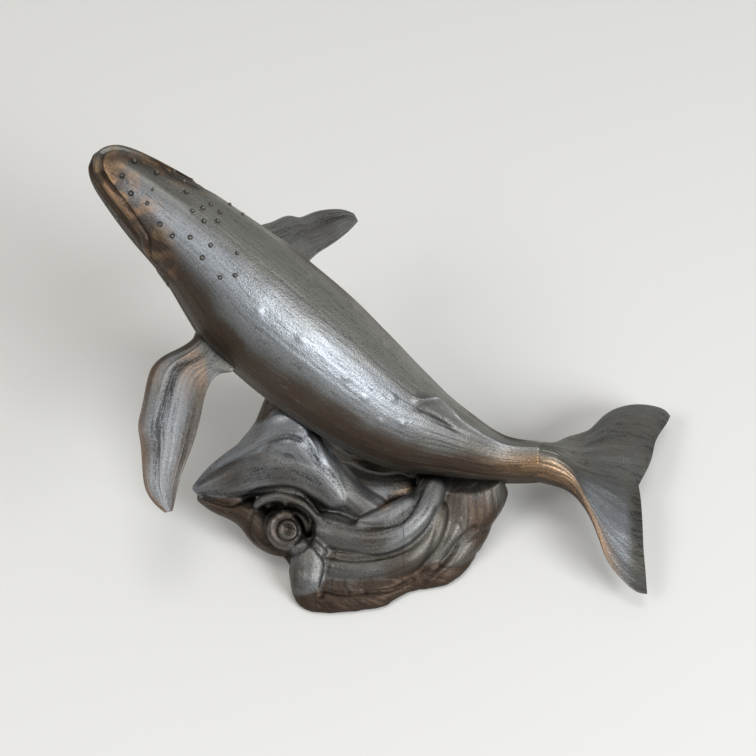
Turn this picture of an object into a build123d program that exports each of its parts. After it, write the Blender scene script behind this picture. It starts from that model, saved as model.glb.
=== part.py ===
from build123d import *
from math import cos, radians, sin
import os

# Humpback whale figurine: a cold-cast whale that rises over a breaking wave.
# Millimetres, +Z up, origin on the table under the middle of the felt pad.
# The whale swims towards -X and climbs, and its left side faces -Y.
# Tables run from the tail to the snout, or from a root to a tip.

# Whale body, from the joint at the tail stock to the snout
whale_length = 250.0
body_width = 59.0
body_depth = 60.0
body_roll = 10.0
body_roll_share = 0.35
spine_shares = [
    (0.305, 0.036, 0.142),
    (0.232, 0.043, 0.142),
    (0.140, 0.055, 0.176),
    (0.047, 0.074, 0.223),
    (-0.044, 0.099, 0.299),
    (-0.133, 0.130, 0.378),
    (-0.214, 0.166, 0.448),
    (-0.295, 0.207, 0.532),
    (-0.364, 0.241, 0.584),
    (-0.422, 0.270, 0.627),
    (-0.474, 0.298, 0.658),
]
# Each section: place on the spine, then half width and half depth
section_shares = [
    (0.000, 0.27, 0.37),
    (0.073, 0.34, 0.42),
    (0.171, 0.52, 0.62),
    (0.277, 0.78, 0.82),
    (0.399, 0.93, 0.92),
    (0.523, 1.00, 0.98),
    (0.635, 0.97, 0.95),
    (0.700, 0.86, 0.86),
    (0.761, 0.75, 0.72),
    (0.853, 0.62, 0.58),
    (0.931, 0.47, 0.42),
    (0.970, 0.36, 0.31),
    (0.992, 0.22, 0.18),
    (0.999, 0.05, 0.05),
]

# Low hooked fin on the back, its outline in fin lengths and heights
back_fin_length = 44.0
back_fin_height = 6.0
back_fin_thickness = 5.0
back_fin_root = 16.0
back_fin_station_share = 0.250
back_fin_outline_shares = [
    (0.30, 0.10),
    (0.16, 0.60),
    (0.04, 0.85),
    (-0.06, 0.85),
    (-0.15, 0.35),
    (-0.32, -0.50),
    (-0.52, -1.60),
    (-0.66, -2.50),
]

# Flippers. Each section: place outwards, sweep along the chord, chord and thickness
fin_length = 84.0
fin_chord = 27.0
fin_thickness = 7.5
fin_station_share = 0.635
fin_drop_angle = 30.0
fin_root_share = 0.70
fin_twist_share = 0.30
left_fin_shares = (-0.24, -0.88, -0.36)
left_chord_shares = (0.97, -0.19, -0.06)
right_fin_shares = (0.46, 0.77, -0.37)
right_chord_shares = (0.65, -0.68, -0.34)
fin_section_shares = [
    (0.000, 0.10, 0.80, 1.60),
    (0.090, 0.08, 0.80, 1.45),
    (0.190, -0.08, 0.88, 1.15),
    (0.270, -0.23, 0.98, 1.00),
    (0.360, -0.34, 1.02, 0.90),
    (0.500, -0.38, 0.98, 0.80),
    (0.610, -0.36, 0.86, 0.70),
    (0.810, -0.24, 0.60, 0.55),
    (0.925, -0.12, 0.36, 0.40),
    (1.000, 0.02, 0.10, 0.15),
]

# Tail fluke. Each section: place on the half span, place aft, chord and thickness
fluke_span = 107.0
fluke_chord = 40.0
fluke_thickness = 8.0
fluke_aft_shares = (0.942, -0.076, -0.34)
fluke_side_shares = (0.14, 0.987, 0.03)
fluke_section_shares = [
    (0.000, 0.740, 0.970, 1.00),
    (0.225, 0.815, 0.890, 0.90),
    (0.430, 0.940, 0.730, 0.75),
    (0.620, 1.040, 0.620, 0.60),
    (0.790, 1.160, 0.520, 0.48),
    (0.900, 1.270, 0.420, 0.38),
    (0.970, 1.370, 0.250, 0.26),
    (1.000, 1.420, 0.070, 0.10),
]
# End of the stock, as place aft, width and depth against the body's last section
stock_length = 22.0
stock_section_shares = [(0.5, 1.18, 0.72), (1.0, 1.70, 0.36)]

# Steel dowels, their bores and the glue gap round each casting
dowel_diameter = 4.0
dowel_clearance = 0.1
fin_dowel_length = 18.0
fluke_dowel_length = 20.0
chest_dowel_length = 50.0
tail_dowel_length = 26.0
wave_dowel_length = 20.0
wave_dowel_spacing = 34.0
wave_dowel_height = 14.0
glue_gap = 0.3

# Foot of the wave, a low mound with an uneven outline
base_length = 112.0
base_width = 101.0
mound_height = 12.0
mound_edge_radius = 6.0
footprint_shares = [
    (-0.98, 0.45),
    (-0.88, 0.05),
    (-0.70, -0.34),
    (-0.66, -0.76),
    (-0.50, -0.99),
    (-0.12, -0.98),
    (0.10, -0.93),
    (0.30, -0.78),
    (0.55, -0.72),
    (0.78, -0.52),
    (0.90, -0.20),
    (0.99, 0.14),
    (0.97, 0.52),
    (0.76, 0.84),
    (0.33, 0.98),
    (-0.33, 0.99),
    (-0.80, 0.84),
]

# Breaking crest, upright sections from the lip back to the saddle.
# Each section: along, across and up to its middle, then half width and half height
crest_reach = 81.0
chest_share = 0.47
chest_angle = 35.0
crest_section_shares = [
    (-1.000, 0.02, 0.37, 0.03, 0.03),
    (-0.965, 0.03, 0.37, 0.10, 0.09),
    (-0.890, 0.08, 0.38, 0.19, 0.18),
    (-0.740, 0.15, 0.41, 0.26, 0.34),
    (-0.573, 0.28, 0.51, 0.31, 0.47),
    (-0.408, 0.30, 0.53, 0.33, 0.43),
    (-0.229, 0.22, 0.34, 0.34, 0.24),
    (-0.050, 0.16, 0.17, 0.37, 0.12),
    (0.120, 0.13, 0.12, 0.30, 0.07),
]

# Thick root of the crest, level sections stacked up into it.
# Each section: up, along and across to its middle, then half length and half width
crest_root_shares = [
    (0.03, -0.38, 0.05, 0.52, 0.66),
    (0.25, -0.38, 0.07, 0.49, 0.50),
    (0.50, -0.45, 0.13, 0.32, 0.29),
    (0.68, -0.54, 0.19, 0.15, 0.16),
]

# Rear swell, level sections stacked up to the tail stock, in the same columns
tail_seat_share = 0.10
swell_section_shares = [
    (0.08, 0.42, 0.08, 0.54, 0.64),
    (0.45, 0.54, 0.08, 0.50, 0.47),
    (0.80, 0.64, 0.09, 0.46, 0.35),
    (1.30, 0.72, 0.13, 0.38, 0.23),
]

# Rolls of water, tapered tubes. Each section: along, across, up and thickness
roll_thickness = 20.0
middle_roll_shares = [
    (-0.50, -0.37, 2.09, 0.45),
    (-0.42, -0.37, 2.12, 0.90),
    (-0.10, -0.48, 2.06, 1.05),
    (0.18, -0.44, 2.15, 1.00),
    (0.38, -0.24, 2.40, 0.85),
    (0.50, 0.00, 2.35, 0.60),
]
lower_roll_shares = [
    (-0.62, -0.65, 1.36, 0.40),
    (-0.50, -0.67, 1.33, 0.95),
    (-0.30, -0.68, 1.30, 1.25),
    (-0.02, -0.66, 1.33, 1.35),
    (0.28, -0.55, 1.42, 1.32),
    (0.54, -0.32, 1.58, 1.15),
    (0.70, 0.00, 1.78, 0.70),
]
leaf_roll_shares = [
    (0.45, -0.64, 0.45, 0.35),
    (0.58, -0.56, 0.70, 0.65),
    (0.80, -0.33, 1.00, 0.78),
    (0.94, -0.02, 1.45, 0.75),
    (0.94, 0.24, 2.00, 0.45),
]

# Folds of water laid over the crest and the swell, flattened tapered tubes.
# Each section: along, across and up, then width and thickness
fold_face_shares = (0.0, -0.72, 0.68)
fan_fold_shares = [
    (-1.24, 0.00, 2.41, 0.70, 0.60),
    (-1.02, 0.04, 2.70, 1.00, 0.80),
    (-0.79, 0.08, 3.12, 1.10, 0.95),
    (-0.62, 0.09, 3.25, 1.10, 1.00),
    (-0.48, 0.01, 3.08, 1.00, 0.90),
    (-0.37, -0.11, 2.62, 0.80, 0.80),
    (-0.28, -0.26, 2.03, 0.60, 0.70),
]
knuckle_fold_shares = [
    (-0.86, 0.20, 4.20, 0.25, 0.25),
    (-0.81, 0.22, 4.60, 0.50, 0.50),
    (-0.71, 0.26, 4.80, 0.70, 0.65),
    (-0.57, 0.23, 4.46, 0.75, 0.70),
    (-0.44, 0.16, 3.83, 0.65, 0.65),
    (-0.31, 0.03, 3.05, 0.55, 0.60),
    (-0.24, -0.14, 2.25, 0.40, 0.50),
]
under_fold_shares = [
    (-1.42, -0.03, 2.00, 0.20, 0.20),
    (-1.29, -0.05, 1.72, 0.40, 0.45),
    (-1.12, -0.09, 1.46, 0.50, 0.60),
    (-0.98, -0.18, 1.29, 0.55, 0.65),
    (-0.90, -0.32, 1.04, 0.55, 0.65),
    (-0.79, -0.38, 0.88, 0.50, 0.60),
    (-0.65, -0.38, 1.00, 0.40, 0.50),
]
drape_fold_shares = [
    (0.73, 0.04, 2.25, 0.40, 0.40),
    (0.71, -0.04, 1.92, 0.70, 0.60),
    (0.68, -0.14, 1.50, 0.85, 0.70),
    (0.62, -0.28, 1.08, 0.80, 0.70),
    (0.53, -0.43, 0.70, 0.70, 0.60),
    (0.42, -0.56, 0.50, 0.50, 0.45),
]

# Paw-like lobe at the front, level sections as in the rear swell
foot_section_shares = [
    (0.03, -0.53, -0.87, 0.12, 0.11),
    (0.40, -0.53, -0.86, 0.16, 0.14),
    (1.11, -0.51, -0.75, 0.19, 0.18),
    (1.82, -0.47, -0.65, 0.13, 0.14),
]

# Spiral curl under the lip
curl_radius = 13.0
curl_eye_shares = (-0.68, -0.35, 1.55)
curl_axis_shares = (0.05, -0.80, 0.60)
curl_start_angle = 200.0
curl_turns = 1.0
curl_steps = 15
curl_inner_share = 0.45
curl_tube_share = 0.50
curl_tube_start_share = 0.45
curl_stretch_share = 1.3
curl_ball_share = 0.45

# Flat joint between the two halves of the wave
split_share = 0.24

# Felt pad and the plate that closes the hollow underside
felt_thickness = 1.0
felt_outline_share = 0.96
plate_thickness = 2.0
plate_length = 66.0
plate_width = 46.0
plate_corner = 12.0
plate_gap = 0.2
hollow_depth = 5.0
hollow_ledge = 4.0

half_length = base_length / 2
half_width = base_width / 2


def directed(shares):
    """Unit direction along three shares."""
    return Vector(*shares).normalized()


def blended(first, second, share):
    """Unit direction between two others."""
    return (first * (1 - share) + second * share).normalized()


# Back line of the whale, which every part of it is placed on
spine = Spline(*[Vector(*point) * whale_length for point in spine_shares])


def body_plane(share):
    """Section plane: X to the whale's left, Y to its back, Z to its snout."""
    ahead = spine % share
    left = Vector(0, 0, 1).cross(ahead).normalized()
    left = left.rotate(Axis((0, 0, 0), ahead), -body_roll * min(1, share / body_roll_share))
    return Plane(origin=spine @ share, x_dir=left, z_dir=ahead)


def body_sections(margin):
    """Planes and half sizes of the body's sections, grown by a margin."""
    for share, width, depth in section_shares:
        yield body_plane(share), body_width / 2 * width + margin, body_depth / 2 * depth + margin


def skin_point(share, turn):
    """Point on the skin, turned from the left side down towards the belly."""
    before = [row for row in section_shares if row[0] <= share][-1]
    after = [row for row in section_shares if row[0] > share][0]
    mix = (share - before[0]) / (after[0] - before[0])
    width = body_width / 2 * (before[1] + (after[1] - before[1]) * mix)
    depth = body_depth / 2 * (before[2] + (after[2] - before[2]) * mix)
    plane = body_plane(share)
    return plane.origin + plane.x_dir * width * cos(radians(turn)) - plane.y_dir * depth * sin(radians(turn))


def tube_planes(points, face=Vector(0, 0, 1)):
    """Planes square to a run of points, their Y turned towards the face of a soft tube."""
    planes = []
    for place, point in enumerate(points):
        ahead = points[min(place + 1, len(points) - 1)] - points[max(place - 1, 0)]
        planes.append(Plane(origin=point, x_dir=ahead.cross(face), z_dir=ahead))
    return planes


# Where the fins and the wave meet the body
chest_point = skin_point(chest_share, 90 - chest_angle)
tail_point = skin_point(tail_seat_share, 90)
fin_seats = {
    "left": skin_point(fin_station_share, fin_drop_angle),
    "right": skin_point(fin_station_share, 180 - fin_drop_angle),
}
fin_directions = {"left": directed(left_fin_shares), "right": directed(right_fin_shares)}
fin_chords = {"left": directed(left_chord_shares), "right": directed(right_chord_shares)}


def fin_plane(side, share, sweep):
    """Section plane of a flipper: X runs aft along the chord, Z outwards."""
    outward = fin_directions[side]
    chord = fin_chords[side]
    body = body_plane(fin_station_share)
    root = body.origin * (1 - fin_root_share) + fin_seats[side] * fin_root_share
    along = blended(body.z_dir * -1, chord, min(1, share / fin_twist_share))
    middle = root + outward * fin_length * share + chord * fin_chord * sweep
    return Plane(origin=middle, x_dir=along, z_dir=outward)


# Planes at the middle of each dowel, and the dowels' lengths
split_x = half_length * split_share
dowel_rows = {
    "left_fin": (Plane(origin=fin_seats["left"], z_dir=fin_directions["left"]), fin_dowel_length),
    "right_fin": (Plane(origin=fin_seats["right"], z_dir=fin_directions["right"]), fin_dowel_length),
    "fluke": (Plane(origin=spine @ 0, z_dir=spine % 0), fluke_dowel_length),
    "chest": (Plane(origin=chest_point), chest_dowel_length),
    "tail": (Plane(origin=tail_point), tail_dowel_length),
}
for name, side in (("wave_front", -1), ("wave_back", 1)):
    middle = (split_x, wave_dowel_spacing / 2 * side, felt_thickness + wave_dowel_height)
    dowel_rows[name] = (Plane(origin=middle, z_dir=(1, 0, 0)), wave_dowel_length)

dowels = {}
bores = {}
for name, (plane, length) in dowel_rows.items():
    with BuildPart() as dowel:
        with BuildSketch(plane):
            Circle(dowel_diameter / 2)
        extrude(amount=length / 2, both=True)
    with BuildPart() as bore:
        with BuildSketch(plane):
            Circle(dowel_diameter / 2 + dowel_clearance)
        extrude(amount=length / 2 + dowel_clearance, both=True)
    dowels[name] = dowel.part
    bores[name] = bore.part

# Grown copy of the body, which trims what is glued against it
with BuildPart() as skin_tool:
    for plane, across, up in body_sections(glue_gap):
        with BuildSketch(plane):
            Ellipse(across, up)
    loft()

# Whale body with its back fin
with BuildPart() as whale:
    for plane, across, up in body_sections(0):
        with BuildSketch(plane):
            Ellipse(across, up)
    loft()
    back = body_plane(back_fin_station_share)
    ridge = skin_point(back_fin_station_share, -90)
    with BuildSketch(Plane(origin=ridge, x_dir=back.z_dir, z_dir=back.x_dir * -1)):
        with BuildLine():
            edge = Spline(*[(back_fin_length * x, back_fin_height * y) for x, y in back_fin_outline_shares])
            Polyline(edge @ 1, ((edge @ 0).X, -back_fin_root), edge @ 0)
        make_face()
    extrude(amount=back_fin_thickness / 2, both=True)
    add([bores[name] for name in ("left_fin", "right_fin", "fluke", "chest", "tail")], mode=Mode.SUBTRACT)
whale.part.label = "whale_body"

# Flippers
fins = {}
for side in ("left", "right"):
    with BuildPart() as fin:
        for share, sweep, chord, thickness in fin_section_shares:
            with BuildSketch(fin_plane(side, share, sweep)):
                Ellipse(fin_chord / 2 * chord, fin_thickness / 2 * thickness)
        loft()
        add(skin_tool.part, mode=Mode.SUBTRACT)
        add(bores[side + "_fin"], mode=Mode.SUBTRACT)
    fin.part.label = side + "_pectoral_fin"
    fins[side] = fin

# Tail fluke with the end of the stock
aft = directed(fluke_aft_shares)
outboard = directed(fluke_side_shares)
stock_start = body_plane(0)
stock_width = body_width / 2 * section_shares[0][1]
stock_depth = body_depth / 2 * section_shares[0][2]
near_lobe = [(-share, place, chord, thickness) for share, place, chord, thickness in fluke_section_shares[:0:-1]]
with BuildPart() as fluke:
    for share, place, chord, thickness in near_lobe + fluke_section_shares:
        middle = stock_start.origin + outboard * fluke_span / 2 * share + aft * fluke_chord * place
        with BuildSketch(Plane(origin=middle, x_dir=aft, z_dir=outboard)):
            Ellipse(fluke_chord / 2 * chord, fluke_thickness / 2 * thickness)
    loft()
    with BuildSketch(stock_start):
        Ellipse(stock_width, stock_depth)
    for share, width, depth in stock_section_shares:
        middle = stock_start.origin + aft * stock_length * share
        with BuildSketch(Plane(origin=middle, x_dir=outboard * -1, z_dir=aft * -1)):
            Ellipse(stock_width * width, stock_depth * depth)
    loft()
    add(bores["fluke"], mode=Mode.SUBTRACT)
fluke.part.label = "tail_fluke"

# Whole wave, before it is cut in two
with BuildPart() as wave:
    with BuildSketch(Plane.XY.offset(felt_thickness)):
        with BuildLine():
            Spline(*[(half_length * x, half_width * y) for x, y in footprint_shares], periodic=True)
        make_face()
    extrude(amount=mound_height)
    fillet(wave.faces().sort_by(Axis.Z)[-1].edges(), mound_edge_radius)
    for top, rows in ((tail_point.Z, swell_section_shares), (chest_point.Z, crest_root_shares)):
        for z, x, y, long, wide in rows:
            with BuildSketch(Plane(origin=(half_length * x, half_width * y, top * z))):
                Ellipse(half_length * long, half_width * wide)
        loft()
    for x, y, z, wide, tall in crest_section_shares:
        middle = (crest_reach * x, half_width * y, chest_point.Z * z)
        with BuildSketch(Plane(origin=middle, x_dir=(0, 1, 0), z_dir=(1, 0, 0))):
            Ellipse(half_width * wide, chest_point.Z * tall)
    loft()
    for rows in (lower_roll_shares, leaf_roll_shares, middle_roll_shares):
        middles = [Vector(half_length * x, half_width * y, mound_height * z) for x, y, z, size in rows]
        for plane, row in zip(tube_planes(middles), rows):
            with BuildSketch(plane):
                Circle(roll_thickness / 2 * row[3])
        loft()
    for z, x, y, long, wide in foot_section_shares:
        with BuildSketch(Plane(origin=(half_length * x, half_width * y, felt_thickness + mound_height * z))):
            Ellipse(half_length * long, half_width * wide)
    loft()
    eye = Vector(half_length * curl_eye_shares[0], half_width * curl_eye_shares[1], mound_height * curl_eye_shares[2])
    face = Plane(origin=eye, x_dir=(1, 0, 0), z_dir=directed(curl_axis_shares))
    for step in range(curl_steps):
        share = step / (curl_steps - 1)
        turn = radians(curl_start_angle + 360 * curl_turns * share)
        reach = curl_radius * (curl_inner_share + (1 - curl_inner_share) * share)
        size = curl_radius * curl_tube_share * (curl_tube_start_share + (1 - curl_tube_start_share) * share)
        spoke = face.x_dir * cos(turn) + face.y_dir * sin(turn)
        ahead = face.y_dir * cos(turn) - face.x_dir * sin(turn)
        with BuildSketch(Plane(origin=eye + spoke * reach, x_dir=spoke, z_dir=ahead)):
            Ellipse(size, size * curl_stretch_share)
    loft()
    with Locations(eye):
        Sphere(curl_radius * curl_ball_share)
    for rows in (fan_fold_shares, drape_fold_shares, under_fold_shares, knuckle_fold_shares):
        middles = [Vector(half_length * row[0], half_width * row[1], mound_height * row[2]) for row in rows]
        for plane, row in zip(tube_planes(middles, directed(fold_face_shares)), rows):
            with BuildSketch(plane):
                Ellipse(roll_thickness / 2 * row[3], roll_thickness / 2 * row[4])
        loft()
    split(bisect_by=Plane.XY.offset(felt_thickness), keep=Keep.TOP)
    add(skin_tool.part, mode=Mode.SUBTRACT)
    with BuildSketch(Plane.XY.offset(felt_thickness)):
        RectangleRounded(plate_length, plate_width, plate_corner)
    extrude(amount=plate_thickness, mode=Mode.SUBTRACT)
    with BuildSketch(Plane.XY.offset(felt_thickness + plate_thickness)):
        RectangleRounded(plate_length - 2 * hollow_ledge, plate_width - 2 * hollow_ledge, plate_corner - hollow_ledge)
    extrude(amount=hollow_depth, mode=Mode.SUBTRACT)
    add([bores[name] for name in ("chest", "tail", "wave_front", "wave_back")], mode=Mode.SUBTRACT)

# The two castings of the wave, which meet face to face
halves = {}
for name, kept in (("wave_crest", Keep.BOTTOM), ("wave_swell", Keep.TOP)):
    with BuildPart() as half:
        add(wave.part)
        split(bisect_by=Plane(origin=(split_x, 0, 0), z_dir=(1, 0, 0)), keep=kept)
    half.part.label = name
    halves[name] = half

# Plate that closes the hollow
with BuildPart() as plate:
    with BuildSketch(Plane.XY.offset(felt_thickness)):
        RectangleRounded(plate_length - 2 * plate_gap, plate_width - 2 * plate_gap, plate_corner - plate_gap)
    extrude(amount=plate_thickness)
plate.part.label = "base_plate"

# Felt pad under the whole foot
with BuildPart() as felt:
    with BuildSketch():
        with BuildLine():
            outline = [(half_length * x, half_width * y) for x, y in footprint_shares]
            Spline(*[(x * felt_outline_share, y * felt_outline_share) for x, y in outline], periodic=True)
        make_face()
    extrude(amount=felt_thickness)
felt.part.label = "felt_pad"

# Dowels between the two castings share a node
wave_dowels = Compound(label="wave_dowels", children=[dowels["wave_front"], dowels["wave_back"]])
dowels["left_fin"].label = "left_fin_dowel"
dowels["right_fin"].label = "right_fin_dowel"
dowels["fluke"].label = "fluke_dowel"
dowels["chest"].label = "chest_dowel"
dowels["tail"].label = "tail_dowel"

os.makedirs("parts", exist_ok=True)
export_step(whale.part, "parts/whale_body.step")
export_step(fins["left"].part, "parts/left_pectoral_fin.step")
export_step(fins["right"].part, "parts/right_pectoral_fin.step")
export_step(fluke.part, "parts/tail_fluke.step")
export_step(halves["wave_crest"].part, "parts/wave_crest.step")
export_step(halves["wave_swell"].part, "parts/wave_swell.step")
export_step(plate.part, "parts/base_plate.step")
export_step(felt.part, "parts/felt_pad.step")
export_step(wave_dowels, "parts/wave_dowels.step")
for name in ("left_fin", "right_fin", "fluke", "chest", "tail"):
    export_step(dowels[name], "parts/" + name + "_dowel.step")
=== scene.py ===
"""Looks of the whale figurine. Sizes are millimetres in the model's frame until a mesh is made."""
import itertools
import math

import bmesh
import bpy
import numpy as np
from mathutils.kdtree import KDTree
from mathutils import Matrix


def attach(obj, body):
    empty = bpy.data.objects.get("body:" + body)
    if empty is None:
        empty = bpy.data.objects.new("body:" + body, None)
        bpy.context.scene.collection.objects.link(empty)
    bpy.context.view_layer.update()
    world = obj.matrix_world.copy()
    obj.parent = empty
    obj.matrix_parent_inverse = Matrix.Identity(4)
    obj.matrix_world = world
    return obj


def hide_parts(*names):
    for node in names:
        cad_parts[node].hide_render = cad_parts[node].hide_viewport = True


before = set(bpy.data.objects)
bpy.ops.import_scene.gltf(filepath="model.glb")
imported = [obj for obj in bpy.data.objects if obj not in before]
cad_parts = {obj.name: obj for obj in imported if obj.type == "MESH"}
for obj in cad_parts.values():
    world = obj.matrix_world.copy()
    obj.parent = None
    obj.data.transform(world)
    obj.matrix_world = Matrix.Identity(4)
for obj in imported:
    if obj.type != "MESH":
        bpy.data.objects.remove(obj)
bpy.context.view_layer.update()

MM = 0.001

# Curves and noise


def turns(size):
    """Angles all the way round."""
    return np.linspace(0, 2 * math.pi, size, endpoint=False)


def unit(vectors):
    """Vectors at length one."""
    return vectors / np.maximum(np.linalg.norm(vectors, axis=-1, keepdims=True), 1e-9)


def natural_spline(knots, values, at):
    """Cubic spline with free ends through values at knots."""
    knots, values = np.asarray(knots, float), np.asarray(values, float)
    count, gaps = len(knots), np.diff(knots)
    system, rights = np.zeros((count, count)), np.zeros(values.shape)
    system[0, 0] = system[-1, -1] = 1
    for i in range(1, count - 1):
        system[i, i - 1:i + 2] = gaps[i - 1], 2 * (gaps[i - 1] + gaps[i]), gaps[i]
        rights[i] = 3 * ((values[i + 1] - values[i]) / gaps[i] - (values[i] - values[i - 1]) / gaps[i - 1])
    curve = np.linalg.solve(system, rights)
    i = np.clip(np.searchsorted(knots, at) - 1, 0, count - 2)
    step, gap = (at - knots[i])[:, None], gaps[i][:, None]
    slope = (values[i + 1] - values[i]) / gap - gap * (2 * curve[i] + curve[i + 1]) / 3
    return values[i] + slope * step + curve[i] * step**2 + (curve[i + 1] - curve[i]) / (3 * gap) * step**3


def smooth_path(points, count=800):
    """Smooth line through points: its places, their share of the run, its length and the knots' shares."""
    points = np.asarray(points, float)
    chord = np.concatenate([[0], np.cumsum(np.linalg.norm(np.diff(points, axis=0), axis=1) ** 0.5)])
    chord /= chord[-1]
    at = np.linspace(0, 1, count)
    places = natural_spline(chord, points, at)
    run = np.concatenate([[0], np.cumsum(np.linalg.norm(np.diff(places, axis=0), axis=1))])
    return places, run / run[-1], run[-1], np.interp(chord, at, run / run[-1])


def along_path(line, share):
    """Places at shares of a smooth path's run."""
    places, run = line[0], line[1]
    return np.stack([np.interp(share, run, places[:, k]) for k in range(places.shape[1])], -1)


def table(rows, at, column=1):
    """Smooth value between the rows of a table without overshoot."""
    rows = np.asarray(rows, float)
    x, y = rows[:, 0], rows[:, column]
    gaps = np.diff(x)
    rises = np.diff(y) / gaps
    slopes = np.concatenate([[rises[0]], rises[1:], [rises[-1]]])
    product = rises[:-1] * rises[1:]
    total = rises[:-1] + rises[1:]
    slopes[1:-1] = np.where(product > 0, 2 * product / np.where(product > 0, total, 1), 0)
    i = np.clip(np.searchsorted(x, at) - 1, 0, len(x) - 2)
    s = np.clip((at - x[i]) / gaps[i], 0, 1)
    return (y[i] * (2 * s**3 - 3 * s**2 + 1) + gaps[i] * slopes[i] * (s**3 - 2 * s**2 + s)
            + y[i + 1] * (3 * s**2 - 2 * s**3) + gaps[i] * slopes[i + 1] * (s**3 - s**2))


def bell(distance, width):
    """One at no distance, falling away over width."""
    return np.exp(-(distance / width) ** 2)


def bells(distance, rows):
    """Sum of bells, each row its height, place and width."""
    return sum(height * bell(distance - place, width) for height, place, width in rows)


def ramp(value, low, high):
    """Smooth step from 0 at low to 1 at high."""
    share = np.clip((value - low) / (high - low), 0, 1)
    return share * share * (3 - 2 * share)


def within(value, low, start, end, high):
    """One from start to end, easing to 0 at low and at high."""
    return ramp(value, low, start) * (1 - ramp(value, end, high))


def stacked(*values):
    """Values spread to one shape and put side by side, such as x, y and z."""
    return np.stack(np.broadcast_arrays(*values), -1)


# Whole numbers that scramble a cell's place into a repeatable value
PRIMES = (73856093, 19349663, 83492791)
SEED_STEP, SCRAMBLE = 2654435, 1274126177
LOW_BITS, LOWEST_BITS = 0xFFFFFFFF, 0xFFFF


def lattice(cells, seed):
    """Repeatable value from 0 to 1 for each whole-number cell."""
    mixed = seed * SEED_STEP
    for axis, prime in enumerate(PRIMES):
        mixed = mixed ^ (cells[..., axis] * prime)
    mixed = ((mixed ^ (mixed >> 13)) * SCRAMBLE) & LOW_BITS
    return ((mixed ^ (mixed >> 16)) & LOWEST_BITS) / LOWEST_BITS


def noise(places, seed=0):
    """Smooth noise from -1 to 1, one cell to a unit."""
    cell = np.floor(places)
    part = places - cell
    ease = part**3 * (part * (part * 6 - 15) + 10)
    cell = cell.astype(np.int64)
    total = np.zeros(places.shape[:-1])
    for corner in itertools.product((0, 1), repeat=3):
        step = np.array(corner)
        total += np.prod(np.where(step == 1, ease, 1 - ease), axis=-1) * lattice(cell + step, seed)
    return 2 * total - 1


# Meshes


def grid_normals(rings):
    """Outward normals of a grid of rings."""
    normals = unit(np.cross(np.roll(rings, -1, 1) - np.roll(rings, 1, 1), np.gradient(rings, axis=0)))
    out = np.mean(np.sum(normals * (rings - rings.mean(axis=1, keepdims=True)), axis=-1))
    return normals if out > 0 else -normals


def cap_faces(ring, size):
    """Strips that close one ring, each between a corner and the one across from it."""
    half = size // 2
    faces = [(ring, ring + 1, ring + size - 1)]
    faces += [(ring + j, ring + j + 1, ring + size - j - 1, ring + size - j) for j in range(1, half - 1)]
    return faces + [(ring + half - 1, ring + half, ring + half + 1)]


def grid_faces(start, rows, size):
    """Faces of a closed tube of rings."""
    i, j = np.meshgrid(np.arange(rows - 1), np.arange(size), indexing="ij")
    a = start + i * size + j
    b = start + i * size + (j + 1) % size
    sides = np.stack([a, b, b + size, a + size], -1).reshape(-1, 4).tolist()
    return sides + cap_faces(start, size) + cap_faces(start + (rows - 1) * size, size)


# Values painted on the corners of a piece, read by its finish: wear (worn ridges, with some painted highlight
# and painted shade), brown (brown patina with painted shade), gold, silver (with painted highlight) and pale
# (painted light)
PAINT = ("wear_and_painted_light", "brown_and_painted_shade", "gold", "silver_and_painted_highlight", "pale")


def corner_places(parts, key):
    """Places or flow at every corner of the parts, each part a closed grid of rings."""
    return np.concatenate([part[key].reshape(-1, 3) for part in parts])


def corner_values(parts, key):
    """Painted value at every corner of the parts, 0 where a part names none."""
    return np.concatenate([np.broadcast_to(part.get(key, 0.0), part["rings"].shape[:2]).ravel()
                           for part in parts])


def outward(mesh):
    """Turn the faces of a closed mesh outward."""
    work = bmesh.new()
    work.from_mesh(mesh)
    bmesh.ops.recalc_face_normals(work, faces=work.faces)
    work.to_mesh(mesh)
    work.free()


def grid_mesh(name, parts):
    """One mesh of all the parts."""
    faces, start = [], 0
    for part in parts:
        rows, size = part["rings"].shape[:2]
        faces += grid_faces(start, rows, size)
        start += rows * size
    mesh = bpy.data.meshes.new(name)
    mesh.from_pydata((corner_places(parts, "rings") * MM).tolist(), [], faces)
    outward(mesh)
    return mesh


def paint_mesh(mesh, flow, paint):
    """Write the flow and the painted values on a mesh's corners."""
    mesh.attributes.new("flow", "FLOAT_VECTOR", "POINT").data.foreach_set("vector", flow.ravel())
    for key in PAINT:
        values = np.clip(paint[key], -1, 1).astype(np.float32)
        mesh.attributes.new(key, "FLOAT", "POINT").data.foreach_set("value", values)


def link_piece(name, mesh, material, node):
    """Piece that is seen in place of a node's solid."""
    mesh.shade_smooth()
    mesh.materials.append(material)
    piece = bpy.data.objects.new(name, mesh)
    bpy.context.scene.collection.objects.link(piece)
    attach(piece, "root")
    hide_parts(node)
    return piece


def add_piece(name, parts, material, node):
    """Piece of parts, each with its rings, its flow and what it has of wear with painted light, brown with
    painted shade, gold, silver with painted highlight, and pale painted light.
    """
    mesh = grid_mesh(name, parts)
    paint_mesh(mesh, corner_places(parts, "flow"), {key: corner_values(parts, key) for key in PAINT})
    return link_piece(name, mesh, material, node)


# The whale's body

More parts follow.
